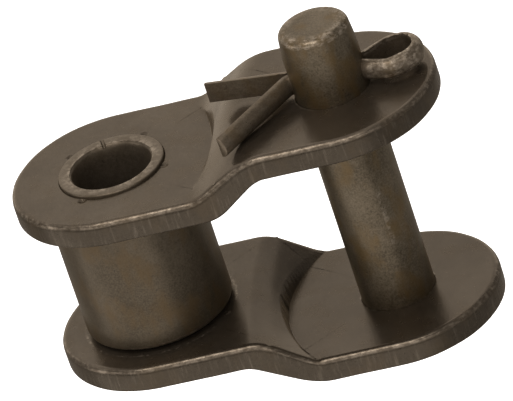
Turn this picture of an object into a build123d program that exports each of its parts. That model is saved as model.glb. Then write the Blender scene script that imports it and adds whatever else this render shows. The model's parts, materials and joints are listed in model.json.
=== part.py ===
from build123d import *
from math import cos, radians, sin
import os

# An offset (half) link of a 5/8 in pitch roller chain, with its loose pin and split pin.
# Frame: origin on the bush axis, midway between the plates; +X runs to the pin; +Z runs up
# the pin, towards the end with the split pin.  Millimetres.

# Driving dimensions of the chain
PITCH = 15.875
ROLLER_D = 10.16
PIN_D = 5.08
INNER_WIDTH = 10.0
PLATE_T = 1.7
CRANK = 2.27
PLATE_R = 7.0

# Fits
RUNNING = 0.06
SLIP = 0.02
PIN_PLAY = 0.025

# Edges
EDGE_R = 0.3

# Plate heights, for the plate on the +Z side
NARROW_IN = INNER_WIDTH / 2
NARROW_OUT = NARROW_IN + PLATE_T
WIDE_IN = NARROW_IN + CRANK
WIDE_OUT = WIDE_IN + PLATE_T

# Crank: each face bends at two straight lines across the plate
FOOT_X = 6.05
BROW_X = 9.9
CREST_X = 7.3
HEEL_X = 10.45

# Clearance for the neighbouring links: a round seat pressed into the crank on each face
OUTER_SEAT_X = 7.05
OUTER_SEAT_R = 13
INNER_SEAT_X = 8.3
INNER_SEAT_R = 11.2
SEAT_DRAFT = 12

# Bush: a strip curled into a tube, so it has a seam
BUSH_D = 7.3
BUSH_L = 13.8
BUSH_MOUTH = 0.35
SEAM_W = 0.06
SEAM_ANGLE = 103.0

# Roller
ROLLER_L = 9.5
ROLLER_EDGE = 0.4
ROLLER_BORE_EDGE = 0.25

# Pin
PIN_TOP = 14.0
PIN_LEAD = 1.8
PIN_LEAD_TAPER = 3.8
PIN_SHOULDER = 0.35
PIN_HEAD_D = 6.6
PIN_HEAD_T = 1.0
PIN_HEAD_EDGE = 0.3

# Split pin: half-round wire, folded into an eye, in a cross hole just above the plate
WIRE_R = 0.8
COTTER_Z = 10.05
COTTER_GAP = 0.06
COTTER_HOLE_R = 0.86
COTTER_TURN = 2
COTTER_ROLL = 3
NECK = 2.75
FAR_LEG_END = (-8.3, 1.15)
NEAR_LEG_END = (-7.5, -5.4)
EYE_FAR = (4.3, 1.4)
EYE_TIP_FAR = (5.6, 1.35)
EYE_TIP_NEAR = (5.95, -0.5)
EYE_NEAR = (4.4, -1.0)
BEND_WIRE_R = 0.45


def on_outline(tangent, middle):
    """Says whether an edge follows the plate's outline, rather than standing upright on it."""
    beyond = max(-middle.X, middle.X - PITCH, 0)
    return abs(tangent.Z) < 0.9 and (beyond**2 + middle.Y**2) ** 0.5 > PLATE_R - 0.01


with BuildPart() as upper_plate:
    with BuildSketch(Plane.XY.offset(NARROW_IN)):
        with Locations((PITCH / 2, 0)):
            SlotCenterToCenter(PITCH, 2 * PLATE_R)
    extrude(amount=WIDE_OUT - NARROW_IN)
    # The block is cut down to the narrow end on its outer face, and up to the wide end on its inner one
    with BuildSketch(Plane.XZ):
        with BuildLine():
            Polyline(
                (-PLATE_R, NARROW_OUT),
                (FOOT_X, NARROW_OUT),
                (BROW_X, WIDE_OUT),
                (-PLATE_R, WIDE_OUT),
                close=True,
            )
        make_face()
        with BuildLine():
            Polyline(
                (PITCH + PLATE_R, WIDE_IN),
                (HEEL_X, WIDE_IN),
                (CREST_X, NARROW_IN),
                (PITCH + PLATE_R, NARROW_IN),
                close=True,
            )
        make_face()
    extrude(amount=PLATE_R, both=True, mode=Mode.SUBTRACT)
    # The round seats, with sloping walls
    with BuildSketch(Plane.XY.offset(NARROW_OUT)):
        with Locations((OUTER_SEAT_X - OUTER_SEAT_R, 0)):
            Circle(OUTER_SEAT_R)
    extrude(amount=CRANK, taper=-SEAT_DRAFT, mode=Mode.SUBTRACT)
    with BuildSketch(Plane.XY.offset(WIDE_IN)):
        with Locations((INNER_SEAT_X + INNER_SEAT_R, 0)):
            Circle(INNER_SEAT_R)
    extrude(amount=-CRANK, taper=-SEAT_DRAFT, mode=Mode.SUBTRACT)
    with BuildSketch(Plane.XY.offset(NARROW_IN)):
        Circle(BUSH_D / 2)
        with Locations((PITCH, 0)):
            Circle(PIN_D / 2 + SLIP)
    extrude(amount=WIDE_OUT - NARROW_IN, mode=Mode.SUBTRACT)
    # Every edge that runs round the outline, on both faces
    rim = [e for e in upper_plate.edges() if on_outline(e % 0, e @ 0.5)]
    fillet(rim, EDGE_R)
upper_plate.part.label = "upper_plate"

with BuildPart() as lower_plate:
    mirror(upper_plate.part, about=Plane.XY)
lower_plate.part.label = "lower_plate"

with BuildPart() as bush:
    with BuildSketch(Plane.XY.offset(-BUSH_L / 2)):
        Circle(BUSH_D / 2)
        Circle(PIN_D / 2 + PIN_PLAY, mode=Mode.SUBTRACT)
    extrude(amount=BUSH_L)
    mouths = bush.edges().filter_by(GeomType.CIRCLE).filter_by(lambda e: e.radius < PIN_D / 2 + 0.1)
    chamfer(mouths, BUSH_MOUTH)
    with BuildSketch(Plane.XY.offset(-BUSH_L / 2)):
        with Locations((BUSH_D / 4 * cos(radians(SEAM_ANGLE)), BUSH_D / 4 * sin(radians(SEAM_ANGLE)))):
            Rectangle(BUSH_D / 2 + 1, SEAM_W, rotation=SEAM_ANGLE)
    extrude(amount=BUSH_L, mode=Mode.SUBTRACT)
bush.part.label = "bush"

with BuildPart() as roller:
    with BuildSketch(Plane.XY.offset(-ROLLER_L / 2)):
        Circle(ROLLER_D / 2)
        Circle(BUSH_D / 2 + RUNNING, mode=Mode.SUBTRACT)
    extrude(amount=ROLLER_L)
    rims = roller.edges().filter_by(GeomType.CIRCLE).filter_by(lambda e: e.radius > ROLLER_D / 2 - 0.1)
    fillet(rims, ROLLER_EDGE)
    bores = roller.edges().filter_by(GeomType.CIRCLE).filter_by(lambda e: e.radius < BUSH_D / 2 + 0.2)
    chamfer(bores, ROLLER_BORE_EDGE)
roller.part.label = "roller"

cotter_plane = Plane(
    origin=(PITCH, 0, COTTER_Z),
    x_dir=(cos(radians(COTTER_TURN)), sin(radians(COTTER_TURN)), 0),
    z_dir=(0, -sin(radians(COTTER_ROLL)), cos(radians(COTTER_ROLL))),
)
hole_plane = Plane(origin=(PITCH, 0, COTTER_Z), z_dir=cotter_plane.x_dir)

with BuildPart() as connecting_pin:
    with BuildSketch(Plane((PITCH, 0, -WIDE_OUT - PIN_HEAD_T))):
        Circle(PIN_HEAD_D / 2)
    extrude(amount=PIN_HEAD_T)
    fillet(connecting_pin.edges().filter_by(GeomType.CIRCLE).sort_by(Axis.Z)[0], PIN_HEAD_EDGE)
    with BuildSketch(Plane((PITCH, 0, -WIDE_OUT))):
        Circle(PIN_D / 2)
    extrude(amount=WIDE_OUT + PIN_TOP - PIN_LEAD)
    with BuildSketch(Plane((PITCH, 0, PIN_TOP - PIN_LEAD))):
        Circle(PIN_D / 2)
    extrude(amount=PIN_LEAD, taper=PIN_LEAD_TAPER)
    fillet(connecting_pin.edges().filter_by(GeomType.CIRCLE).sort_by(Axis.Z)[-1], PIN_SHOULDER)
    with BuildSketch(hole_plane):
        Circle(COTTER_HOLE_R)
    extrude(amount=PIN_D, both=True, mode=Mode.SUBTRACT)
connecting_pin.part.label = "connecting_pin"

with BuildPart() as cotter_pin:
    with BuildLine(cotter_plane) as wire:
        FilletPolyline(
            FAR_LEG_END,
            (-NECK, COTTER_GAP),
            (NECK, COTTER_GAP),
            EYE_FAR,
            EYE_TIP_FAR,
            EYE_TIP_NEAR,
            EYE_NEAR,
            (NECK, -COTTER_GAP),
            (-NECK, -COTTER_GAP),
            NEAR_LEG_END,
            radius=BEND_WIRE_R,
        )
    with BuildSketch(Plane(origin=wire.line @ 0, x_dir=cotter_plane.z_dir, z_dir=wire.line % 0)):
        Circle(WIRE_R)
        with Locations((0, WIRE_R)):
            Rectangle(2 * WIRE_R, 2 * WIRE_R, mode=Mode.SUBTRACT)
    sweep(path=wire.line)
cotter_pin.part.label = "cotter_pin"

os.makedirs("parts", exist_ok=True)
export_step(upper_plate.part, "parts/upper_plate.step")
export_step(lower_plate.part, "parts/lower_plate.step")
export_step(bush.part, "parts/bush.step")
export_step(roller.part, "parts/roller.step")
export_step(connecting_pin.part, "parts/connecting_pin.step")
export_step(cotter_pin.part, "parts/cotter_pin.step")
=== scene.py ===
"""An offset link of a roller chain: cranked plates, curled bush, roller, pin and split pin.

The pieces are modelled in millimetres about the bush axis, then brought to the frame's metres.
"""

import json
import logging
import math
from dataclasses import dataclass
from enum import Enum
from typing import Callable, Iterable, Sequence

import bmesh
import bpy
from mathutils import Matrix, Vector, noise


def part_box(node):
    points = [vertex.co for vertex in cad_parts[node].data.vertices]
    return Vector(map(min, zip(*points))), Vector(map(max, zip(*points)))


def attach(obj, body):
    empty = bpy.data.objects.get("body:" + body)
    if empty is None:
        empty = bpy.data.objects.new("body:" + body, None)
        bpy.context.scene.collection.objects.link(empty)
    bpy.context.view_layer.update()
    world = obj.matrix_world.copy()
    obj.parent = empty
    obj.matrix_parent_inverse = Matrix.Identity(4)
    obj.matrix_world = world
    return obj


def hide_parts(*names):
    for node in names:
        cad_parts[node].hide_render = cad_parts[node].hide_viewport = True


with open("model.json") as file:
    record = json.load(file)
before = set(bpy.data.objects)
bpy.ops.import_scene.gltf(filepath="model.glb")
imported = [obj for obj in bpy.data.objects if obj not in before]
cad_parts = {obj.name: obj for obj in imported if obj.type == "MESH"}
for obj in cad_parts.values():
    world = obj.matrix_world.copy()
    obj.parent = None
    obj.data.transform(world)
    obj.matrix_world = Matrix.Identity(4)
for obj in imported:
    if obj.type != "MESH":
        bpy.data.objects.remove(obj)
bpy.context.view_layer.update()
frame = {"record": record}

log = logging.getLogger("offset_link")

MM = 0.001
CRISP_ANGLE = 35.0  # degrees; edges that turn by more than this stay crisp
MERGE_GAP = 1e-4  # millimetres; vertices nearer than this are one
WARM_WHITE = (1.0, 0.93, 0.87)
LINK_BODY = "link"
ROLLER_BODY = "roller"
NOISE_SEED = 1  # fixes the small unevenness, so that every run gives the same shapes
SHIFT_WAY = (1.0, 0.7, 1.3)  # the direction in which patterns of noise are shifted
Point2 = tuple[float, float]
Colour = tuple[float, float, float]


# --------------------------------------------------------------------------- sizes from the frame


def mount(name: str) -> dict:
    """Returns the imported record's mount of that name."""
    return next(m for m in frame["record"]["mounts"] if m["name"] == name)


def extent(node: str) -> tuple[Vector, Vector]:
    """Returns a CAD node's lowest and highest corners at rest, in millimetres."""
    low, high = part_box(node)
    return Vector(low) / MM, Vector(high) / MM


PITCH = mount("pin_span")["pos_m"][0] / MM
PIN_R = mount("pin_span")["dims"]["r_mm"]
BORE_R = mount("bush_bore")["dims"]["r_mm"]
BUSH_R = extent("bush")[1].x
BUSH_HALF = extent("bush")[1].z
ROLLER_R = extent("roller")[1].x
ROLLER_HALF = extent("roller")[1].z
PLATE_R = extent("upper_plate")[1].y
PLATE_LOW = extent("upper_plate")[0].z
PLATE_HIGH = extent("upper_plate")[1].z
PIN_LOW = extent("connecting_pin")[0].z
PIN_HIGH = extent("connecting_pin")[1].z
PIN_HEAD_R = (extent("connecting_pin")[1].y - extent("connecting_pin")[0].y) / 2


# --------------------------------------------------------------------------- shader graphs


class Signal:
    """A number that varies over a surface, written as a Python expression."""

    def __init__(self, graph: "Graph", socket: bpy.types.NodeSocket) -> None:
        """Wraps a node's output socket."""
        self.graph = graph
        self.socket = socket

    def _math(self, operation: str, first: object, second: object) -> "Signal":
        """Adds a Math node and returns its result."""
        node = self.graph.node("ShaderNodeMath", {"operation": operation}, {0: first, 1: second})
        return Signal(self.graph, node.outputs[0])

    def __add__(self, other: object) -> "Signal":
        """Adds."""
        return self._math("ADD", self, other)

    def __sub__(self, other: object) -> "Signal":
        """Subtracts."""
        return self._math("SUBTRACT", self, other)

    def __mul__(self, other: object) -> "Signal":
        """Multiplies."""
        return self._math("MULTIPLY", self, other)

    def __abs__(self) -> "Signal":
        """Drops the sign."""
        return self._math("ABSOLUTE", self, 0.0)

    def step(self, low: float, high: float) -> "Signal":
        """Rises smoothly from 0 to 1.

        Args:
            low: where it is still 0.
            high: where it is 1; it may be less than low, and then the rise runs the other way.

        Returns:
            The new number.
        """
        settings = {"interpolation_type": "SMOOTHSTEP", "clamp": True}
        inputs = {0: self, 1: low, 2: high, 3: 0.0, 4: 1.0}
        node = self.graph.node("ShaderNodeMapRange", settings, inputs)
        return Signal(self.graph, node.outputs[0])


def weighed(signals: Sequence[Signal], weights: Sequence[float]) -> Signal:
    """Returns the sum of the signals, each times its weight."""
    total, *rest = (signal * weight for signal, weight in zip(signals, weights))
    for part in rest:
        total = total + part
    return total


@dataclass(frozen=True)
class Grain:
    """A pattern of noise.

    Attributes:
        per_mm: about how many features a millimetre has along X, Y and Z.
        detail: how many layers of finer noise lie on it.
        rough: how strong each layer is beside the one before.
        shift: moves the pattern, so that no two patterns line up.
    """

    per_mm: tuple[float, float, float]
    detail: float = 4.0
    rough: float = 0.55
    shift: float = 0.0


class Graph:
    """A material's node tree, with one method that makes every kind of node."""

    def __init__(self, name: str) -> None:
        """Starts an empty tree in a new material."""
        self.material = bpy.data.materials.new(name)
        self.material.use_nodes = True
        self.tree = self.material.node_tree
        self.tree.nodes.clear()

    def node(
        self, kind: str, settings: dict | None = None, inputs: dict | None = None
    ) -> bpy.types.Node:
        """Adds a node.

        Args:
            kind: the node's type.
            settings: properties to set first.
            inputs: values or links for its sockets, by name or number.

        Returns:
            The new node.
        """
        made = self.tree.nodes.new(kind)
        for key, value in (settings or {}).items():
            setattr(made, key, value)
        for key, value in (inputs or {}).items():
            socket = made.inputs[key]
            if isinstance(value, Signal):
                self.tree.links.new(value.socket, socket)
            elif isinstance(value, bpy.types.NodeSocket):
                self.tree.links.new(value, socket)
            else:
                socket.default_value = value
        return made

    def grain(self, pattern: Grain) -> Signal:
        """Returns a pattern of noise, centred on 0.5, that is fixed to the piece."""
        place = {
            "Vector": self.node("ShaderNodeTexCoord").outputs["Object"],
            "Scale": tuple(count / MM for count in pattern.per_mm),
            "Location": tuple(pattern.shift * way for way in SHIFT_WAY),
        }
        vector = self.node("ShaderNodeMapping", {}, place).outputs[0]
        inputs = {
            "Vector": vector,
            "Scale": 1.0,
            "Detail": pattern.detail,
            "Roughness": pattern.rough,
        }
        return Signal(self, self.node("ShaderNodeTexNoise", {}, inputs).outputs["Fac"])

    def attribute(self, name: str) -> Signal:
        """Returns a number stored on the mesh."""
        stored = self.node("ShaderNodeAttribute", {"attribute_name": name})
        return Signal(self, stored.outputs["Fac"])

    def upright(self) -> Signal:
        """Returns 1 where the surface faces up or down, and 0 where it faces sideways."""
        normal = self.node("ShaderNodeNewGeometry").outputs["Normal"]
        return abs(Signal(self, self.node("ShaderNodeSeparateXYZ", {}, {0: normal}).outputs["Z"]))

    def blend(self, factor: Signal, first: object, second: Colour) -> bpy.types.NodeSocket:
        """Lays a colour over another.

        Args:
            factor: how much of the second shows, 0 to 1.
            first: the colour below, or a socket that carries it.
            second: the colour on top.

        Returns:
            The mixed colour.
        """
        inputs = {0: factor, 6: first, 7: (*second, 1)}
        return self.node("ShaderNodeMix", {"data_type": "RGBA"}, inputs).outputs[2]

    def finish(self, surface: dict) -> bpy.types.Material:
        """Closes the tree with a Principled shader.

        Args:
            surface: values or links for the shader's sockets, by name.

        Returns:
            The material.
        """
        shader = self.node("ShaderNodeBsdfPrincipled", {}, surface)
        self.tree.links.new(
            shader.outputs[0], self.node("ShaderNodeOutputMaterial").inputs["Surface"]
        )
        return self.material


class Lay(Enum):
    """How a surface was finished, which sets the way its fine lines run."""

    TUMBLED = "tumbled"
    TURNED = "turned"
    DRAWN = "drawn"


LINES = {
    Lay.TUMBLED: Grain((7.0, 2.5, 7.0), 4.0, 0.65),
    Lay.TURNED: Grain((0.7, 0.7, 16.0), 3.0, 0.6),
    Lay.DRAWN: Grain((3.0, 16.0, 16.0), 3.0, 0.6),
}


@dataclass(frozen=True)
class Weathering:
    """What lies on the steel, the same in every finish.

    Attributes:
        blotch: the broadest patches.
        film: the pools of old oil.
        mottle: the small patches.
        fine: the finest roughness.
        shear: the upright marks on sheared faces.
        grit: the pitting.
        wear_and_highlight_gaps: the gaps in the lightened edges, which are partly real scuffing and
            partly painted highlight.
        speck: the dark specks.
        side_span: how upright a face's normal is where it starts and ends to count as a side.
        patch_span: the noise at which the light patches start and end to fade in.
        stain_span: the same for the oil stains.
        speck_span: the same for the specks.
        wear_and_highlight_span: the same for the lightened edges.
        shear_span: the same for the marks on sheared faces.
        cut_cover: how much the sheared faces are darkened.
        shear_cover: how much their marks shine.
        speck_cover: how strong the specks are.
        speck_colour: their colour.
        wear_and_highlight_cover: how far the lightened edges take the bare-steel colour, as real
            scuffing and painted highlight.
        patch_mix: the shares of blotch, mottle and grit in the light patches.
        rough_mix: how far mottle, film, fine, sheared faces and the lightened edges shift the
            roughness.
        relief_mix: the relief of mottle, fine, grit, the finish's lines, sheared marks and specks.
        bump_strength: how strongly the relief shades.
        bump_depth: how deep it is, in millimetres.
    """

    blotch: Grain = Grain((0.22, 0.22, 0.22), 3.0)
    film: Grain = Grain((0.6, 0.6, 0.35), shift=11.0)
    mottle: Grain = Grain((2.2, 2.2, 2.2), shift=5.0)
    fine: Grain = Grain((11.0, 11.0, 11.0), 3.0, 0.6, 3.0)
    shear: Grain = Grain((5.0, 5.0, 0.45), 4.0, 0.6, 8.0)
    grit: Grain = Grain((8.0, 8.0, 8.0), 2.0, 0.7, 31.0)
    wear_and_highlight_gaps: Grain = Grain((2.6, 2.6, 4.0), 4.0, 0.7, 2.0)
    speck: Grain = Grain((4.5, 4.5, 4.5), 2.0, 0.4, 21.0)
    side_span: Point2 = (0.55, 0.25)
    patch_span: Point2 = (0.42, 0.86)
    stain_span: Point2 = (0.46, 0.68)
    speck_span: Point2 = (0.68, 0.76)
    wear_and_highlight_span: Point2 = (0.42, 0.66)
    shear_span: Point2 = (0.5, 0.75)
    cut_cover: float = 0.55
    shear_cover: float = 0.12
    speck_cover: float = 0.45
    speck_colour: Colour = (0.02, 0.016, 0.012)
    wear_and_highlight_cover: float = 0.65
    patch_mix: tuple[float, ...] = (0.5, 0.2, 0.6)
    rough_mix: tuple[float, ...] = (0.14, 0.14, 0.08, 0.06, -0.12)
    relief_mix: tuple[float, ...] = (0.25, 0.3, 0.5, 0.45, 1.9, -0.5)
    bump_strength: float = 0.27
    bump_depth: float = 0.03


@dataclass(frozen=True)
class OiledSteel:
    """Dark heat-treated steel under a film of oil.

    Attributes:
        name: the material's name.
        dark: the colour where the oil and scale lie thick.
        light: the colour where they lie thin.
        stain: the brown of old oil.
        worn_and_highlight: the bare steel on scuffed edges, also the colour of the painted
            highlights.
        cut: the colour of sheared faces.
        roughness: the mean roughness.
        metallic: how much of the surface is bare metal rather than oil and scale.
        lay: the way the fine lines run.
        stain_amount: how much of the surface the brown covers.
        tint: the colour of reflections, seen through the oil.
        coat: the strength of the oil's own shine.
        coat_roughness: how soft that shine is.
        weathering: what lies on the steel.
    """

    name: str
    dark: Colour
    light: Colour
    stain: Colour
    worn_and_highlight: Colour = (0.38, 0.325, 0.26)
    cut: Colour = (0.020, 0.016, 0.011)
    roughness: float = 0.24
    metallic: float = 0.6
    lay: Lay = Lay.TUMBLED
    stain_amount: float = 0.5
    tint: Colour = (0.95, 0.84, 0.68)
    coat: float = 0.06
    coat_roughness: float = 0.25
    weathering: Weathering = Weathering()

    def build(self) -> bpy.types.Material:
        """Makes the material."""
        g = Graph(self.name)
        w = self.weathering
        film, mottle, fine, grit = (g.grain(p) for p in (w.film, w.mottle, w.fine, w.grit))
        shear = g.grain(w.shear)
        sheared = g.upright().step(*w.side_span) * g.attribute("blanked")
        # The stored mark lightens rims, mouths, the split pin's eye and a streak on the pin, partly
        # as real scuffing and partly as painted highlight.
        wear = g.attribute("wear") * g.grain(w.wear_and_highlight_gaps).step(*w.wear_and_highlight_span)
        speck = g.grain(w.speck).step(*w.speck_span)

        patches = weighed((g.grain(w.blotch), mottle, grit), w.patch_mix).step(*w.patch_span)
        colour = g.blend(patches, (*self.dark, 1), self.light)
        colour = g.blend(sheared * w.cut_cover, colour, self.cut)
        colour = g.blend(sheared * shear.step(*w.shear_span) * w.shear_cover, colour, self.worn_and_highlight)
        colour = g.blend(film.step(*w.stain_span) * self.stain_amount, colour, self.stain)
        colour = g.blend(speck * w.speck_cover, colour, w.speck_colour)
        # Painted highlight, partly real scuffing: those places take the bare-steel colour.
        colour = g.blend(wear * w.wear_and_highlight_cover, colour, self.worn_and_highlight)

        swings = (mottle - 0.5, film - 0.5, fine - 0.5, sheared, wear)
        heights = (mottle, fine, grit, g.grain(LINES[self.lay]), sheared * shear, speck)
        height = weighed(heights, w.relief_mix)
        relief = {"Strength": w.bump_strength, "Distance": w.bump_depth * MM, "Height": height}
        return g.finish(
            {
                "Base Color": colour,
                "Metallic": self.metallic,
                "Specular Tint": (*self.tint, 1),
                "Roughness": weighed(swings, w.rough_mix) + self.roughness,
                "Normal": g.node("ShaderNodeBump", {}, relief).outputs[0],
                "Coat Weight": self.coat,
                "Coat Roughness": self.coat_roughness,
            }
        )


@dataclass(frozen=True)
class PaleFloor:
    """A plain pale sweep that glows evenly.

    Attributes:
        shade: how pale it is.
        glow: how strongly it glows.
    """

    shade: float = 0.9
    glow: float = 0.92

    def build(self) -> bpy.types.Material:
        """Makes the material."""
        return Graph("pale_floor").finish(
            {
                "Base Color": (self.shade, self.shade, self.shade, 1),
                "Roughness": 0.9,
                "Emission Color": (1, 1, 1, 1),
                "Emission Strength": self.glow,
            }
        )


# --------------------------------------------------------------------------- mesh helpers


def arc(centre: Point2, radius: float, start: float, end: float, steps: int) -> list[Point2]:
    """Divides an arc of a section.

    Args:
        centre: the arc's centre, as (radius, height).
        radius: its radius.
        start: where it starts, in degrees from the outward direction.
        end: where it ends.
        steps: how many lengths it is divided into.

    Returns:
        The points along it.
    """
    angles = [math.radians(start + (end - start) * i / steps) for i in range(steps + 1)]
    return [(centre[0] + radius * math.cos(a), centre[1] + radius * math.sin(a)) for a in angles]


def lathe(
    section: Sequence[Point2], centre: Point2, closed: bool, steps: int
) -> bmesh.types.BMesh:
    """Turns a section of (radius, height) points about an upright axis.

    Args:
        section: the points, in order.
        centre: where the axis stands.
        closed: whether the last point joins the first, as on a ring.
        steps: faces round the whole turn.

    Returns:
        The mesh, in millimetres.
    """
    bm = bmesh.new()
    axis = Vector((*centre, 0))
    verts = [bm.verts.new(axis + Vector((r, 0, z))) for r, z in section]
    pairs = list(zip(verts, verts[1:])) + ([(verts[-1], verts[0])] if closed else [])
    edges = [bm.edges.new(p) for p in pairs]
    turn = {"axis": (0, 0, 1), "angle": math.tau, "steps": steps, "use_merge": True}
    bmesh.ops.spin(bm, geom=verts + edges, cent=axis, **turn)
    bmesh.ops.remove_doubles(bm, verts=bm.verts, dist=MERGE_GAP)
    bmesh.ops.recalc_face_normals(bm, faces=bm.faces)
    return bm


def bevel(
    bm: bmesh.types.BMesh, edges: Sequence[bmesh.types.BMEdge], offset: float, segments: int
) -> None:
    """Rounds edges.

    Args:
        bm: the mesh.
        edges: the edges to round.
        offset: how far the rounding reaches from each.
        segments: rows of faces across it.
    """
    shape = {"offset_type": "OFFSET", "profile": 0.5, "affect": "EDGES", "material": -1}
    bmesh.ops.bevel(bm, geom=edges, offset=offset, segments=segments, **shape)


def raised(grown: Sequence[object]) -> list[bmesh.types.BMVert]:
    """Returns the vertices among what an extrusion made."""
    return [g for g in grown if isinstance(g, bmesh.types.BMVert)]


def clamp(value: float) -> float:
    """Keeps a number from 0 to 1."""
    return max(0.0, min(1.0, value))


def store(bm: bmesh.types.BMesh, name: str, values: Callable[[Vector], float]) -> None:
    """Stores a number on each vertex, for the materials to read.

    Args:
        bm: the mesh.
        name: the number's name.
        values: works it out from where the vertex is.
    """
    layer = bm.verts.layers.float.get(name) or bm.verts.layers.float.new(name)
    for v in bm.verts:
        v[layer] = values(v.co)


def finish_piece(
    bm: bmesh.types.BMesh,
    name: str,
    material: bpy.types.Material,
    node: str,
    body: str = LINK_BODY,
) -> None:
    """Turns a mesh in millimetres into a piece that stands for a CAD node.

    Args:
        bm: the mesh; it is freed.
        name: the piece's name.
        material: its finish.
        node: the CAD node it stands for.
        body: the body it rides on.
    """
    bmesh.ops.scale(bm, vec=(MM, MM, MM), verts=bm.verts)
    for edge in bm.edges:
        crisp = edge.is_manifold and edge.calc_face_angle() > math.radians(CRISP_ANGLE)
        edge.smooth = not crisp
    for face in bm.faces:
        face.smooth = True
    mesh = bpy.data.meshes.new(name)
    bm.to_mesh(mesh)
    bm.free()
    mesh.materials.append(material)
    piece = bpy.data.objects.new(name, mesh)
    bpy.context.scene.collection.objects.link(piece)
    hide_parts(node)
    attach(piece, body)
    log.info("%s: %d faces on %s", name, len(mesh.polygons), body)


def uneven(bm: bmesh.types.BMesh, size: float, amount: float, seed: float) -> None:
    """Moves each vertex a little, as hammered, tumbled metal is never quite true.

    Args:
        bm: the mesh.
        size: the waves' length, in millimetres.
        amount: the most a vertex moves.
        seed: picks the pattern.
    """
    for v in bm.verts:
        v.co += noise.noise_vector(v.co / size + Vector((seed, seed, seed))) * amount


# --------------------------------------------------------------------------- the plates


def soft_step(x: float, low: float, high: float, low_round: float, high_round: float) -> float:
    """Returns a straight ramp from 0 at low to 1 at high, with its two corners rounded off.

    Args:
        x: where to take it.
        low: where the unrounded ramp starts.
        high: where it ends.
        low_round: half the length over which the first corner is rounded.
        high_round: the same for the second.

    Returns:
        The height of the ramp there.
    """

    def knee(u: float, w: float) -> float:
        """Returns 0 before a corner and u after it, blended over w each side."""
        if u <= -w:
            return 0.0
        return u if u >= w else (u + w) ** 2 / (4 * w)

    return (knee(x - low, low_round) - knee(x - high, high_round)) / (high - low)


@dataclass(frozen=True)
class Ramp:
    """The sloping part of one face, between two bends.

    Attributes:
        low: where the unrounded slope starts on the plate's middle line.
        high: where it ends there.
        foot_round: half the rounded length of the first bend.
        head_round: the same for the second.
        foot_sag: how much later the slope starts at the plate's sides.
        head_sag: how much later it ends there.
    """

    low: float
    high: float
    foot_round: float
    head_round: float
    foot_sag: float
    head_sag: float

    def share(self, x: float, y: float) -> float:
        """Returns how far up the slope a point is, 0 to 1."""
        outward = min(abs(y) / PLATE_R, 1.0) ** 2
        low = self.low + self.foot_sag * outward
        high = self.high + self.head_sag * outward
        return soft_step(x, low, high, self.foot_round, self.head_round)


@dataclass(frozen=True)
class Seat:
    """The steep round wall of a seat pressed into the slope for a neighbouring link.

    Attributes:
        middle: where the wall's foot crosses the plate's middle line.
        bow: the wall's radius, positive when it bows towards the pin.
        draft: the wall's width, seen from above.
        corner: half the rounded length at its top and foot.
    """

    middle: float
    bow: float
    draft: float
    corner: float

    def share(self, x: float, y: float) -> float:
        """Returns how far up the wall a point is, 0 to 1."""
        radius = abs(self.bow)
        sag = radius - math.sqrt(radius**2 - min(abs(y), radius) ** 2)
        foot = self.middle - math.copysign(sag, self.bow)
        return soft_step(x, foot, foot + self.draft, self.corner, self.corner)


@dataclass(frozen=True)
class Blank:
    """A plate as it is cut, before pressing.

    Attributes:
        bush_hole: the radius of the hole for the bush.
        pin_hole: the radius of the hole for the pin.
        inner_edge: the rounding of the outline's edge on the inner face.
        outer_edge: the same on the outer face.
    """

    bush_hole: float
    pin_hole: float
    inner_edge: float
    outer_edge: float

    @property
    def rolled_inside(self) -> bool:
        """Whether the rounder edge, which takes the scuffing and the painted highlight, is on the
        inner face.
        """
        return self.inner_edge > self.outer_edge


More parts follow.
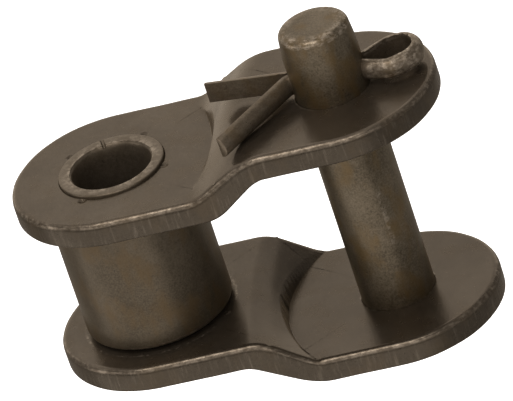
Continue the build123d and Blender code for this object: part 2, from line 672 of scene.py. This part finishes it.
@dataclass(frozen=True)
class CrankedPlate:
    """A side plate, pressed so that its pin end stands wider than its bush end.

    Attributes:
        thickness: the sheet's thickness.
        outer_ramp: the slope of the outer face.
        inner_ramp: the slope of the inner face.
        outer_seat: the seat that clears the next link's plates.
        inner_seat: the seat that clears the next link's rounded ends.
        seam: where the two halves of the mesh meet.
        spacing: the length of an edge along the outline.
        rings: rows of vertices added between each hole and the outline.
        shortest_spoke: every edge from a hole to the outline is longer than this.
        hole_edge: the rounding of the holes' edges.
        gather_margin: how far inside the outline the walls' fine division ends.
        gather_fade: how quickly it ends there.
        gather_pull: how strongly vertices are drawn in towards a wall.
        gather_width: from how far they are drawn in.
        clear: the most they are then kept off the middle of the wall.
        clear_width: how far that reaches.
        edge_wear_and_highlight_depth: the depth over which the lightening of the rim fades, partly
            real scuffing and partly painted highlight.
        edge_fade: how many times that depth the lightening reaches.
        hole_wear_and_highlight: how strongly and how widely the edge of the pin's hole is
            lightened, as painted highlight at the pin's foot and real scuffing.
        ring_wear_and_highlight: the same for the lighter ring beside the roller's end, partly real
            scuffing and partly painted highlight.
        ring_gap: how far that ring's middle lies outside the roller.
        stakes: where small dents from pressing stand round the bush, in degrees.
        stake_place: how far they are from the bush's axis.
        stake_size: their radius.
        stake_depth: their depth.
    """

    thickness: float = 1.7
    outer_ramp: Ramp = Ramp(6.05, 8.6, 0.55, 1.2, 0.0, 1.5)
    inner_ramp: Ramp = Ramp(6.9, 9.25, 0.9, 0.65, 0.4, 1.2)
    outer_seat: Seat = Seat(7.05, 13.0, 0.4, 0.16)
    inner_seat: Seat = Seat(8.05, -11.2, 0.16, 0.03)
    seam: float = 7.7
    spacing: float = 0.24
    rings: int = 48
    shortest_spoke: float = 2.4
    hole_edge: float = 0.06
    gather_margin: float = 0.45
    gather_fade: float = 5.0
    gather_pull: float = 0.65
    gather_width: float = 0.5
    clear: float = 0.12
    clear_width: float = 0.3
    edge_wear_and_highlight_depth: float = 0.19
    edge_fade: float = 1.6
    hole_wear_and_highlight: Point2 = (0.8, 0.12)
    ring_wear_and_highlight: Point2 = (0.5, 0.09)
    ring_gap: float = 0.18
    stakes: tuple[float, ...] = (141.0, -118.0, 58.0, -18.0)
    stake_place: float = 3.9
    stake_size: float = 0.3
    stake_depth: float = 0.14

    def crank(self, x: float, y: float, through: float) -> float:
        """Returns the pressed height of a point that lies this far through the sheet, 0 to 1."""
        step = PLATE_HIGH - PLATE_LOW - self.thickness
        inner = max(self.inner_ramp.share(x, y), self.inner_seat.share(x, y))
        outer = self.outer_ramp.share(x, y)
        if x < self.outer_seat.middle + 1:
            outer = min(outer, self.outer_seat.share(x, y))
        rise = step * (inner * (1 - through) + outer * through)
        return PLATE_LOW + self.thickness * through + rise

    def _outline(self, centre: float) -> list[Vector]:
        """Returns one half of the outline about its hole, closed along the seam."""
        side = 1 if centre < self.seam else -1
        run = abs(self.seam - centre)
        along = max(2, round(run / self.spacing))
        across = round(2 * PLATE_R / self.spacing)
        round_end = round(math.pi * PLATE_R / self.spacing)
        out = [side * run * i / along for i in range(along)]
        rise = [2 * PLATE_R * i / across for i in range(across)]
        turn = [math.pi / 2 + math.pi * i / round_end for i in range(round_end)]
        points = [Vector((centre + step, -PLATE_R, 0)) for step in out]
        points += [Vector((self.seam, -PLATE_R + step, 0)) for step in rise]
        points += [Vector((self.seam - step, PLATE_R, 0)) for step in out]
        for angle in turn:
            spoke = Vector((side * math.cos(angle), math.sin(angle), 0))
            points.append(Vector((centre, 0, 0)) + PLATE_R * spoke)
        return points

    def _half(self, bm: bmesh.types.BMesh, centre: float, hole: float) -> None:
        """Lays one half of the flat sheet, as a ring of faces round its hole.

        Args:
            bm: the mesh to lay it in.
            centre: how far the hole's centre is from the bush's axis.
            hole: the hole's radius.
        """
        outline = self._outline(centre)
        count = len(outline)
        outer = bmesh.ops.create_circle(bm, segments=count, radius=1.0)["verts"]
        inner = bmesh.ops.create_circle(bm, segments=count, radius=1.0)["verts"]
        middle = Vector((centre, 0, 0))
        for vert, rim, point in zip(inner, outer, outline):
            rim.co = point
            vert.co = middle + (point - middle).normalized() * hole
        edges = dict.fromkeys(e for v in outer + inner for e in v.link_edges)
        bmesh.ops.bridge_loops(bm, edges=list(edges))

    def flat(self, blank: Blank) -> bmesh.types.BMesh:
        """Returns the sheet before pressing, lying from 0 to its thickness."""
        bm = bmesh.new()
        self._half(bm, 0.0, blank.bush_hole)
        self._half(bm, PITCH, blank.pin_hole)
        bmesh.ops.remove_doubles(bm, verts=bm.verts, dist=MERGE_GAP)
        grown = bmesh.ops.extrude_face_region(bm, geom=bm.faces[:])["geom"]
        bmesh.ops.translate(bm, verts=raised(grown), vec=(0, 0, self.thickness))
        bmesh.ops.recalc_face_normals(bm, faces=bm.faces)

        def reach(v: bmesh.types.BMVert) -> float:
            """Returns how far a vertex is from the line between the two axes."""
            beyond = max(-v.co.x, v.co.x - PITCH, 0)
            return math.hypot(beyond, v.co.y)

        level = [e for e in bm.edges if abs(e.verts[0].co.z - e.verts[1].co.z) < self.thickness / 2]
        corners = [e for e in level if e.calc_face_angle(0) > math.radians(CRISP_ANGLE)]
        rim = [e for e in corners if min(reach(v) for v in e.verts) > PLATE_R - self.spacing]
        holes = [e for e in corners if e not in set(rim)]
        low_rim = [e for e in rim if e.verts[0].co.z < self.thickness / 2]
        high_rim = [e for e in rim if e not in set(low_rim)]
        bevel(bm, low_rim, blank.inner_edge, 5)
        bevel(bm, high_rim, blank.outer_edge, 5)
        bevel(bm, [e for e in holes if e.is_valid], self.hole_edge, 2)
        spokes = [e for e in bm.edges if e.calc_length() > self.shortest_spoke]
        bmesh.ops.subdivide_edges(bm, edges=spokes, cuts=self.rings, use_grid_fill=True)
        return bm

    def _gather(self, v: bmesh.types.BMVert) -> None:
        """Draws a vertex in towards the wall of each seat, so that the walls are finely divided."""
        fade = clamp(self.gather_fade * (PLATE_R - self.gather_margin - abs(v.co.y)))
        for seat in (self.outer_seat, self.inner_seat):
            side = math.copysign(1.0, seat.bow)
            centre = Vector((seat.middle - seat.bow, 0))
            spoke = Vector((v.co.x, v.co.y)) - centre
            away = spoke.length - (abs(seat.bow) + side * seat.draft / 2)
            clear = min(seat.draft / 2 + seat.corner, self.clear)
            near = away * (1 - self.gather_pull * math.exp(-((away / self.gather_width) ** 2)))
            near += math.copysign(clear, away) * math.exp(-((away / self.clear_width) ** 2))
            spoke = spoke.normalized() * (spoke.length + fade * (near - away)) + centre
            v.co.x, v.co.y = spoke

    def _from_stake(self, v: bmesh.types.BMVert) -> float:
        """Returns how far a vertex is, seen from above, from the nearest stake."""
        turns = [math.radians(angle) for angle in self.stakes]
        dents = [self.stake_place * Vector((math.cos(a), math.sin(a))) for a in turns]
        return min((v.co.xy - dent).length for dent in dents)

    def pressed(self, blank: Blank) -> bmesh.types.BMesh:
        """Returns the upper plate's mesh, pressed to shape."""
        bm = self.flat(blank)
        for v in bm.verts:
            self._gather(v)
        hole_wear_and_highlight, hole_reach = self.hole_wear_and_highlight
        ring_wear_and_highlight, ring_reach = self.ring_wear_and_highlight

        def wear_and_highlight_at(p: Vector) -> float:
            """Returns how much a point of the flat sheet is lightened, as scuffing and painted
            highlight.
            """
            if math.hypot(p.x - PITCH, p.y) < blank.pin_hole + hole_reach:
                return hole_wear_and_highlight
            off_ring = abs(math.hypot(p.x, p.y) - ROLLER_R - self.ring_gap)
            if p.z < self.hole_edge and off_ring < ring_reach:
                return ring_wear_and_highlight
            inset = PLATE_R - math.hypot(max(-p.x, p.x - PITCH, 0), p.y)
            depth = p.z if blank.rolled_inside else self.thickness - p.z
            return clamp(self.edge_fade - math.hypot(inset, depth) / self.edge_wear_and_highlight_depth)

        # Painted highlight, partly real scuffing: the rims, the pin's hole and a ring beside the
        # roller's end are lightened.
        store(bm, "wear", wear_and_highlight_at)
        store(bm, "blanked", lambda p: 1.0)
        for v in bm.verts:
            through = v.co.z / self.thickness
            v.co.z = self.crank(v.co.x, v.co.y, through)
            near = self._from_stake(v) / self.stake_size
            if near < 1 and through > 0.99:
                v.co.z -= self.stake_depth * (1 - near**2)
        uneven(bm, size=2.2, amount=0.02, seed=4.0)
        return bm


# --------------------------------------------------------------------------- the round pieces


@dataclass(frozen=True)
class Bush:
    """A strip curled into a tube and pressed into both plates.

    Attributes:
        mouth: the radius of its flared mouth.
        flare: how deep the mouth is flared.
        crown: the radius of the rounding between its mouth and its end.
        rim: the radius of the rounding on its outer rim.
        seam_angle: where the seam stands, in degrees from +X.
        notch_half_angle: half the width of the notch at each end of the seam, in degrees.
        notch_reach: how far the notch reaches outwards from the mouth.
        notch_depth: how deep it is.
        wear: how strongly the mouth's rim is lightened, as painted highlight and real scuffing, and
            the rest of the bush.
    """

    mouth: float = 2.84
    flare: float = 0.9
    crown: float = 0.07
    rim: float = 0.12
    seam_angle: float = 103.5
    notch_half_angle: float = 1.2
    notch_reach: float = 0.2
    notch_depth: float = 0.22
    wear: Point2 = (0.8, 0.1)

    def mesh(self) -> bmesh.types.BMesh:
        """Returns the tube."""
        lip = self.mouth - BORE_R
        top = BUSH_HALF - self.crown
        shares = (1.0, 0.75, 0.5, 0.3, 0.15, 0.05)
        upper = [(self.mouth - lip * math.sqrt(i), top - self.flare * i) for i in shares]
        upper += arc((self.mouth + self.crown, top), self.crown, 180, 90, 4)
        upper += arc((BUSH_R - self.rim, BUSH_HALF - self.rim), self.rim, 90, 0, 4)
        section = upper + [(r, -z) for r, z in reversed(upper)]
        bm = lathe(section, (0, 0), closed=True, steps=200)
        for v in bm.verts:
            off = abs(math.atan2(v.co.y, v.co.x) - math.radians(self.seam_angle))
            inside = math.hypot(v.co.x, v.co.y) < self.mouth + self.notch_reach
            at_end = abs(v.co.z) > BUSH_HALF - self.rim
            if off < math.radians(self.notch_half_angle) and inside and at_end:
                v.co.z -= math.copysign(self.notch_depth, v.co.z)

        def wear_and_highlight_at(p: Vector) -> float:
            """Returns how much a point is lightened, most at the mouth's painted highlight."""
            at_mouth = math.hypot(p.x, p.y) < self.mouth + self.rim and abs(p.z) > top
            return self.wear[0] if at_mouth else self.wear[1]

        # Painted highlight, partly real scuffing: the mouth's rim is lightened.
        store(bm, "wear", wear_and_highlight_at)
        uneven(bm, size=1.3, amount=0.015, seed=9.0)
        return bm


@dataclass(frozen=True)
class Roller:
    """The hard ring that turns on the bush and sits in the sprocket.

    Attributes:
        clearance: the gap round the bush.
        shoulder: the rounding of its outer corners.
        bore_edge: the rounding of its inner corners.
        wear: how strongly its ends are scuffed.
    """

    clearance: float = 0.06
    shoulder: float = 0.34
    bore_edge: float = 0.2
    wear: float = 0.25

    def mesh(self) -> bmesh.types.BMesh:
        """Returns the ring."""
        bore = BUSH_R + self.clearance
        top = ROLLER_HALF
        inner, outer = bore + self.bore_edge, ROLLER_R - self.shoulder
        section = arc((inner, top - self.bore_edge), self.bore_edge, 180, 90, 4)
        section += arc((outer, top - self.shoulder), self.shoulder, 90, 0, 7)
        section += [(ROLLER_R, top * share) for share in (0.6, 0.3, 0.0, -0.3, -0.6)]
        section += arc((outer, -top + self.shoulder), self.shoulder, 0, -90, 7)
        section += arc((inner, -top + self.bore_edge), self.bore_edge, -90, -180, 4)
        bm = lathe(section, (0, 0), closed=True, steps=180)
        store(bm, "wear", lambda p: self.wear if abs(p.z) > top - self.shoulder else 0.0)
        return bm


@dataclass(frozen=True)
class Pin:
    """The removable pin, with a low head; the split pin fills its cross hole, which is left out.

    Attributes:
        shoulder: the rounding of its upper end.
        lead: how far its upper end tapers.
        taper: how much thinner the tapered end is, on the radius.
        head: the head's thickness.
        head_edge: the rounding of the head's lower edge.
        neck_edge: the rounding of its upper edge.
        rings: rows of faces along the shank.
        streak_angle: where a painted highlight streak runs down the shank, in degrees from +X.
        streak_half_angle: half the streak's width, in degrees.
        streak_low: the height of its lower end.
        streak_high: the height of its upper end.
        streak_highlight: how bright the painted highlight streak is.
        rim_wear_and_highlight: how bright the upper end's rim is, as painted highlight and real
            scuffing.
        rim_depth: how far down and how far in the rim is lightened.
    """

    shoulder: float = 0.5
    lead: float = 1.8
    taper: float = 0.12
    head: float = 1.0
    head_edge: float = 0.3
    neck_edge: float = 0.12
    rings: int = 40
    streak_angle: float = -62.0
    streak_half_angle: float = 3.6
    streak_low: float = -2.3
    streak_high: float = 1.9
    streak_highlight: float = 0.5
    rim_wear_and_highlight: float = 0.8
    rim_depth: Point2 = (0.45, 0.5)

    def mesh(self) -> bmesh.types.BMesh:
        """Returns the turned pin."""
        neck = PIN_LOW + self.head
        end_r = PIN_R - self.taper
        low, high = self.head_edge, self.neck_edge
        section: list[Point2] = [(0.0, PIN_LOW)]
        section += arc((PIN_HEAD_R - low, PIN_LOW + low), low, -90, 0, 5)
        section += arc((PIN_HEAD_R - high, neck - high), high, 0, 90, 3)
        section += [(PIN_R, neck)]
        shank = PIN_HIGH - self.lead - neck
        section += [(PIN_R, neck + shank * (i + 1) / self.rings) for i in range(self.rings)]
        section += arc((end_r - self.shoulder, PIN_HIGH - self.shoulder), self.shoulder, 0, 85, 7)
        section += [(end_r - 2 * self.shoulder, PIN_HIGH), (0.0, PIN_HIGH)]
        bm = lathe(section, (PITCH, 0), closed=False, steps=144)
        down, inwards = self.rim_depth

        def wear_and_highlight_at(p: Vector) -> float:
            """Returns how far the top rim and the streak on the shank are lightened as painted
            highlight.
            """
            if p.z > PIN_HIGH - down and math.hypot(p.x - PITCH, p.y) > end_r - inwards:
                return self.rim_wear_and_highlight
            off = abs(math.degrees(math.atan2(p.y, p.x - PITCH)) - self.streak_angle)
            on_streak = off < self.streak_half_angle and self.streak_low < p.z < self.streak_high
            return self.streak_highlight if on_streak else 0.0

        # Painted highlight: the top rim, partly real scuffing too, and an upright streak down the
        # shank are lightened.
        store(bm, "wear", wear_and_highlight_at)
        return bm


@dataclass(frozen=True)
class SplitPin:
    """Half-round wire folded flat to flat, with an eye at the fold and its ends spread.

    Attributes:
        height: half the wire's height along the pin.
        thick: the wire's thickness across its flat.
        fullness: how full the round side is; 1 is an ellipse, and less is fuller.
        flat_share: the height of the flat, as a share of the wire's.
        level: the height of the hole's centre.
        turn: how far the hole is turned from +X, in degrees.
        roll: how far the split pin is rolled in its hole, in degrees.
        reach: how far the rounding of a corner reaches along the route.
        most_cut: the most of a length that one corner's rounding may take.
        cut_edge: the rounding of the cut ends.
        wear: how strongly the eye's upper and near edges are lightened, as painted highlight and
            real scuffing, and the rest of the wire.
        wear_and_highlight_depth: how far down from the wire's top that reaches.
        eye: where the eye starts and where its near side lies, for the lightening.
        route: the corners of the line that the wire's flat follows.
    """

    height: float = 0.76
    thick: float = 0.66
    fullness: float = 0.9
    flat_share: float = 0.985
    level: float = 10.05
    turn: float = 2.0
    roll: float = 3.0
    reach: float = 0.4
    most_cut: float = 0.48
    cut_edge: float = 0.05
    wear: Point2 = (0.5, 0.06)
    wear_and_highlight_depth: float = 0.3
    eye: Point2 = (2.6, -0.5)
    route: tuple[tuple[float, float, float], ...] = (
        (-8.3, 1.15, 0.0),
        (-2.9, 0.12, 0.0),
        (1.9, 0.06, 0.0),
        (2.6, 0.35, 0.0),
        (4.4, 1.5, 0.0),
        (5.4, 1.5, 0.0),
        (5.9, 0.85, 0.0),
        (5.95, 0.0, 0.0),
        (5.4, -0.62, 0.0),
        (4.75, -0.85, 0.0),
        (4.15, -1.05, 0.0),
        (2.6, -0.38, 0.0),
        (1.9, -0.06, 0.0),
        (-2.75, -0.08, 0.0),
        (-7.5, -5.4, -0.12),
    )

    def path(self, steps: int = 7) -> list[Vector]:
        """Returns the line of the wire's flat, with each corner rounded off in that many steps."""
        points = [Vector(p) for p in self.route]
        path = [points[0]]
        for before, corner, after in zip(points, points[1:], points[2:]):
            shorter = min((before - corner).length, (after - corner).length)
            cut = min(self.reach, shorter * self.most_cut)
            start = corner + (before - corner).normalized() * cut
            end = corner + (after - corner).normalized() * cut
            for i in range(steps + 1):
                t = i / steps
                path.append(start * (1 - t) ** 2 + corner * 2 * t * (1 - t) + end * t**2)
        path.append(points[-1])
        return path

    def mesh(self) -> bmesh.types.BMesh:
        """Returns the wire, grown along its path from one cut end to the other."""
        path = self.path()
        frames: list[Matrix] = []
        for i, point in enumerate(path):
            along = (path[min(i + 1, len(path) - 1)] - path[max(i - 1, 0)]).normalized()
            side = Vector((0, 0, 1)).cross(along).normalized()
            basis = Matrix((side, along.cross(side), along)).transposed().to_4x4()
            frames.append(Matrix.Translation(point) @ basis)
        bm = bmesh.new()
        ring = bmesh.ops.create_circle(bm, segments=32, radius=1.0, cap_ends=True)["verts"]
        for v in ring:
            on_round = v.co.x > 0
            v.co.x = self.thick * max(v.co.x, 0.0) ** self.fullness
            v.co.y *= self.height * (1.0 if on_round else self.flat_share)
        bmesh.ops.transform(bm, matrix=frames[0], verts=bm.verts)
        face = bm.faces[:][0]
        for here, there in zip(frames, frames[1:]):
            grown = bmesh.ops.extrude_face_region(bm, geom=[face])["geom"]
            bmesh.ops.transform(bm, matrix=there @ here.inverted(), verts=raised(grown))
            face = next(g for g in grown if isinstance(g, bmesh.types.BMFace))
        bmesh.ops.recalc_face_normals(bm, faces=bm.faces)
        ends = [f for f in bm.faces if len(f.verts) > 4]
        bevel(bm, [e for f in ends for e in f.edges], self.cut_edge, 2)

        def wear_and_highlight_at(p: Vector) -> float:
            """Returns how much a point is lightened, most on the eye's painted highlight."""
            edge = p.z > self.height - self.wear_and_highlight_depth or p.y < self.eye[1]
            return self.wear[0] if p.x > self.eye[0] and edge else self.wear[1]

        # Painted highlight, partly real scuffing: the eye's upper and near edges are lightened.
        store(bm, "wear", wear_and_highlight_at)
        place = (
            Matrix.Translation((PITCH, 0, self.level))
            @ Matrix.Rotation(math.radians(self.turn), 4, "Z")
            @ Matrix.Rotation(math.radians(self.roll), 4, "X")
        )
        bmesh.ops.transform(bm, matrix=place, verts=bm.verts)
        uneven(bm, size=1.1, amount=0.02, seed=2.0)
        return bm


# --------------------------------------------------------------------------- the link


@dataclass(frozen=True)
class Finishes:
    """The five finishes of the link."""

    plate: OiledSteel = OiledSteel(
        "plate_steel",
        (0.046, 0.036, 0.026),
        (0.086, 0.070, 0.052),
        (0.060, 0.043, 0.025),
        stain_amount=0.35,
    )
    bush: OiledSteel = OiledSteel(
        "bush_steel",
        (0.066, 0.053, 0.038),
        (0.110, 0.090, 0.067),
        (0.062, 0.045, 0.026),
        roughness=0.34,
        stain_amount=0.3,
    )
    roller: OiledSteel = OiledSteel(
        "roller_steel",
        (0.036, 0.028, 0.018),
        (0.082, 0.066, 0.046),
        (0.072, 0.046, 0.019),
        roughness=0.34,
        lay=Lay.TURNED,
        stain_amount=0.6,
    )
    pin: OiledSteel = OiledSteel(
        "pin_steel",
        (0.040, 0.031, 0.019),
        (0.120, 0.098, 0.068),
        (0.094, 0.060, 0.022),
        roughness=0.34,
        lay=Lay.TURNED,
        stain_amount=0.7,
    )
    split_pin: OiledSteel = OiledSteel(
        "split_pin_steel",
        (0.070, 0.055, 0.038),
        (0.130, 0.105, 0.076),
        (0.090, 0.062, 0.032),
        # Painted highlight: the pale bare-steel colour that the eye's lit edges take.
        worn_and_highlight=(0.62, 0.54, 0.44),
        roughness=0.32,
        lay=Lay.DRAWN,
        stain_amount=0.55,
    )


class OffsetLink:
    """The whole link, piece by piece.

    Attributes:
        press_gap: what is left round a pressed piece, in millimetres.
        slide_gap: what is left round the end of the pin that slides out.
    """

    press_gap = 0.01
    slide_gap = 0.03

    def __init__(self) -> None:
        """Takes the finishes and the parts' shapes."""
        self.finishes = Finishes()
        self.plate = CrankedPlate()
        self.bush = Bush()
        self.roller = Roller()
        self.pin = Pin()
        self.split_pin = SplitPin()

    def plates(self) -> None:
        """Builds the upper plate and, mirrored, the lower one."""
        material = self.finishes.plate.build()
        bush_hole = BUSH_R + self.press_gap
        loose_hole, tight_hole = PIN_R + self.slide_gap, PIN_R + self.press_gap
        upper = self.plate.pressed(Blank(bush_hole, loose_hole, inner_edge=0.2, outer_edge=0.46))
        lower = self.plate.pressed(Blank(bush_hole, tight_hole, inner_edge=0.46, outer_edge=0.18))
        bmesh.ops.scale(lower, vec=(1, 1, -1), verts=lower.verts)
        bmesh.ops.reverse_faces(lower, faces=lower.faces)
        finish_piece(upper, "plate_upper", material, "upper_plate")
        finish_piece(lower, "plate_lower", material, "lower_plate")

    def round_parts(self) -> None:
        """Builds the bush, the roller and the pin."""
        f = self.finishes
        bush, roller, pin = self.bush.mesh(), self.roller.mesh(), self.pin.mesh()
        finish_piece(bush, "curled_bush", f.bush.build(), "bush")
        finish_piece(roller, "turning_roller", f.roller.build(), "roller", ROLLER_BODY)
        finish_piece(pin, "removable_pin", f.pin.build(), "connecting_pin")

    def fastening(self) -> None:
        """Builds the split pin."""
        material = self.finishes.split_pin.build()
        wire = self.split_pin.mesh()
        finish_piece(wire, "spread_split_pin", material, "cotter_pin")


# --------------------------------------------------------------------------- the studio


@dataclass(frozen=True)
class Panel:
    """A soft light panel.

    Attributes:
        name: the light's name.
        place: where it hangs, in millimetres.
        size: its width and height.
        power: its strength in watts.
    """

    name: str
    place: tuple[float, float, float]
    size: tuple[float, float]
    power: float

    def build(self, target: Vector) -> None:
        """Hangs the panel, facing the target."""
        light = bpy.data.lights.new(self.name, "AREA")
        light.shape = "RECTANGLE"
        light.size = self.size[0] * MM
        light.size_y = self.size[1] * MM
        light.energy = self.power
        light.color = WARM_WHITE
        lamp = bpy.data.objects.new(self.name, light)
        lamp.location = Vector(self.place) * MM
        lamp.rotation_euler = (target - lamp.location).to_track_quat("-Z", "Y").to_euler()
        bpy.context.scene.collection.objects.link(lamp)


@dataclass(frozen=True)
class Studio:
    """The floor, the lights and the camera.

    Attributes:
        azimuth: where the camera stands round the link, in degrees from -Y towards +X.
        elevation: how high it stands, in degrees.
        roll: how far it is tipped about its line of sight, in degrees.
        distance: how far off it stands, in millimetres.
        aim: the point it looks at, in millimetres.
        lens: its focal length for a 36 mm sensor.
        floor_drop: how far the floor lies below the link, in millimetres.
        floor_half: half the floor's width, in metres.
        sky: the strength of the even light all round.
        panels: the soft lights.
    """

    azimuth: float = 12.17
    elevation: float = 30.11
    roll: float = -18.67
    distance: float = 557.5
    aim: tuple[float, float, float] = (7.96, 2.99, 0.0)
    lens: float = 585.0
    floor_drop: float = 30.0
    floor_half: float = 3.0
    sky: float = 0.27
    panels: tuple[Panel, ...] = (
        Panel("overhead", (-20, -70, 230), (150, 110), 0.22),
        Panel("upper_sweep", (-80, 110, 285), (380, 300), 0.24),
        Panel("back_sweep", (-75, 325, 130), (650, 400), 0.56),
        Panel("low_front", (-110, -230, -160), (780, 300), 0.72),
        Panel("front_strip", (-20, -245, 170), (420, 240), 0.36),
        Panel("left_fill", (-240, -60, 90), (120, 200), 0.12),
    )

    def build(self) -> None:
        """Sets up everything round the link."""
        target = Vector(self.aim) * MM
        self._floor()
        for panel in self.panels:
            panel.build(target)
        self._sky()
        self._camera(target)

    def _floor(self) -> None:
        """Lays the floor, which neither shows in the steel nor takes light from it."""
        bm = bmesh.new()
        bmesh.ops.create_grid(bm, x_segments=1, y_segments=1, size=self.floor_half)
        mesh = bpy.data.meshes.new("floor")
        bm.to_mesh(mesh)
        bm.free()
        mesh.materials.append(PaleFloor().build())
        floor = bpy.data.objects.new("floor", mesh)
        floor.location.z = (PIN_LOW - self.floor_drop) * MM
        bpy.context.scene.collection.objects.link(floor)
        floor.visible_glossy = False
        floor.visible_shadow = False

    def _sky(self) -> None:
        """Adds the even light all round."""
        world = bpy.data.worlds.new("studio")
        world.use_nodes = True
        background = world.node_tree.nodes["Background"].inputs
        background["Strength"].default_value = self.sky
        background["Color"].default_value = (*WARM_WHITE, 1)
        bpy.context.scene.world = world
        bpy.context.scene.view_settings.view_transform = "Standard"

    def _camera(self, target: Vector) -> None:
        """Stands the camera at its angle, tipped about its line of sight."""
        az, el = math.radians(self.azimuth), math.radians(self.elevation)
        back = Vector((math.sin(az) * math.cos(el), -math.cos(az) * math.cos(el), math.sin(el)))
        camera = bpy.data.objects.new("camera", bpy.data.cameras.new("camera"))
        camera.data.lens = self.lens
        camera.data.clip_start = 0.01
        camera.location = target + back * self.distance * MM
        facing = (-back).to_track_quat("-Z", "Y").to_matrix()
        tip = Matrix.Rotation(math.radians(self.roll), 3, "Z")
        camera.rotation_euler = (facing @ tip).to_euler()
        bpy.context.scene.collection.objects.link(camera)
        bpy.context.scene.camera = camera


def main() -> None:
    """Builds the link and its studio."""
    logging.basicConfig(level=logging.INFO, format="%(name)s %(message)s")
    noise.seed_set(NOISE_SEED)
    link = OffsetLink()
    link.plates()
    link.round_parts()
    link.fastening()
    Studio().build()


if __name__ == "__main__":
    main()
